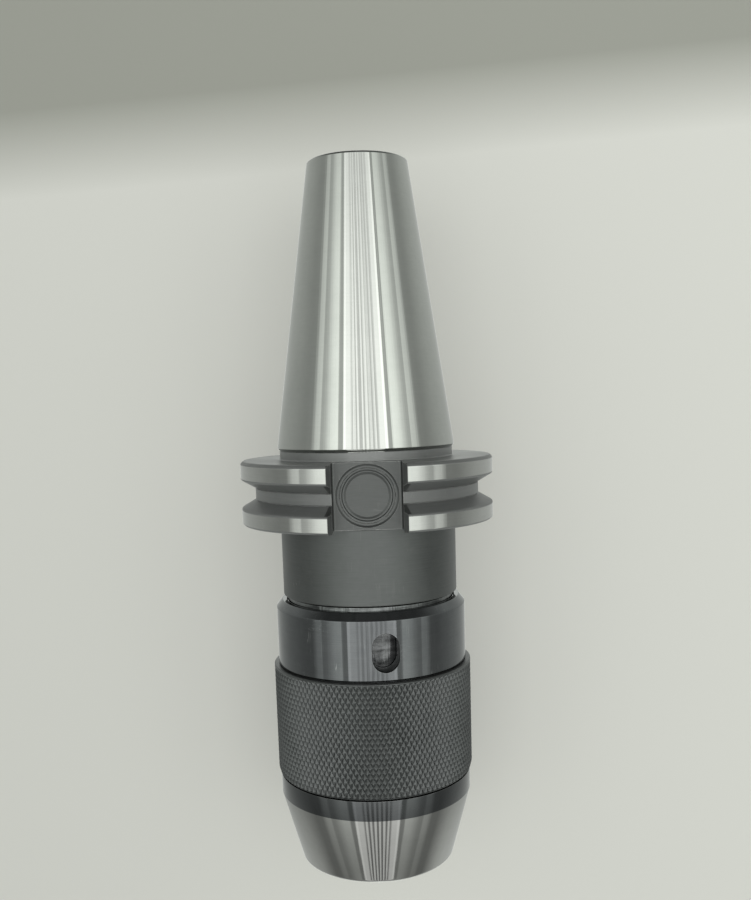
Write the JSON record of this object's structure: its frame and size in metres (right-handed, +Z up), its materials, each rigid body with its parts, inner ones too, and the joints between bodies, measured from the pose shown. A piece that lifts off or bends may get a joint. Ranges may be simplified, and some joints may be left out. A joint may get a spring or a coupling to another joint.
{
  "type": "keyless drill chuck",
  "caption": "Keyless drill chuck made in one with a steep-taper V-flange shank, with a knurled sleeve that screws self-centring jaws down the cone of its nose.",
  "frame": {"origin": "centre of the flat nose face, on the chuck's axis, which is the centre of the foot it stands on", "axes": "+Z up the axis from the nose to the small end of the taper; -Y through the shallower of the two drive key slots, the side in the picture; the gauge line of the taper is at z = 0.108 m"},
  "size_m": [0.0636, 0.0608, 0.1762],
  "materials": {
    "ground_steel": "ground all round, bright",
    "blacked_steel": "black oxide, satin",
    "knurled_steel": "black oxide over a diamond knurl",
    "hard_steel": "hardened, fine ground",
    "bearing_steel": "lapped",
    "cage_brass": "machined",
    "seal_rubber": "smooth, oiled"
  },
  "bodies": {
    "shank": {"shank_body": "ground_steel", "thrust_nut": "hard_steel", "front_race": "bearing_steel", "dust_seal": "seal_rubber"},
    "sleeve": {"spanner_sleeve": "blacked_steel", "knurled_sleeve": "knurled_steel", "nose_cone": "ground_steel", "jaw_guide": "hard_steel", "rear_race": "bearing_steel"},
    "jaw_screw": {"jaw_screw": "hard_steel"},
    "jaw_1": {"jaw_1": "hard_steel"},
    "jaw_2": {"jaw_2": "hard_steel"},
    "jaw_3": {"jaw_3": "hard_steel"},
    "ball_ring": {"ball_cage": "cage_brass", "ball_01": "bearing_steel", "ball_02": "bearing_steel", "ball_03": "bearing_steel", "ball_04": "bearing_steel", "ball_05": "bearing_steel", "ball_06": "bearing_steel", "ball_07": "bearing_steel", "ball_08": "bearing_steel", "ball_09": "bearing_steel", "ball_10": "bearing_steel", "ball_11": "bearing_steel", "ball_12": "bearing_steel", "ball_13": "bearing_steel", "ball_14": "bearing_steel", "ball_15": "bearing_steel", "ball_16": "bearing_steel", "ball_17": "bearing_steel", "ball_18": "bearing_steel"}
  },
  "joints": [
    {"name": "sleeve_turn", "type": "hinge", "parent": "shank", "child": "sleeve", "pos_m": [0, 0, 0.0611], "axis": [0, 0, 1], "range_deg": [0, 2687]},
    {"name": "ball_ring_roll", "type": "hinge", "parent": "shank", "child": "ball_ring", "pos_m": [0, 0, 0.05015], "axis": [0, 0, 1], "range_deg": [0, 1345]},
    {"name": "jaw_screw_feed", "type": "slide", "parent": "sleeve", "child": "jaw_screw", "axis": [0, 0, -1], "range_m": [0, 0.02239]},
    {"name": "jaw_1_close", "type": "slide", "parent": "sleeve", "child": "jaw_1", "axis": [0, 0.2588, -0.9659], "range_m": [0, 0.02318]},
    {"name": "jaw_2_close", "type": "slide", "parent": "sleeve", "child": "jaw_2", "axis": [-0.2241, -0.1294, -0.9659], "range_m": [0, 0.02318]},
    {"name": "jaw_3_close", "type": "slide", "parent": "sleeve", "child": "jaw_3", "axis": [0.2241, -0.1294, -0.9659], "range_m": [0, 0.02318]}
  ],
  "couplings": [
    {"joint": "ball_ring_roll", "follows": "sleeve_turn", "ratio": 0.5},
    {"joint": "jaw_screw_feed", "follows": "sleeve_turn", "m_per_rad": 0.00047746},
    {"joint": "jaw_1_close", "follows": "sleeve_turn", "m_per_rad": 0.00049431},
    {"joint": "jaw_2_close", "follows": "sleeve_turn", "m_per_rad": 0.00049431},
    {"joint": "jaw_3_close", "follows": "sleeve_turn", "m_per_rad": 0.00049431}
  ]
}
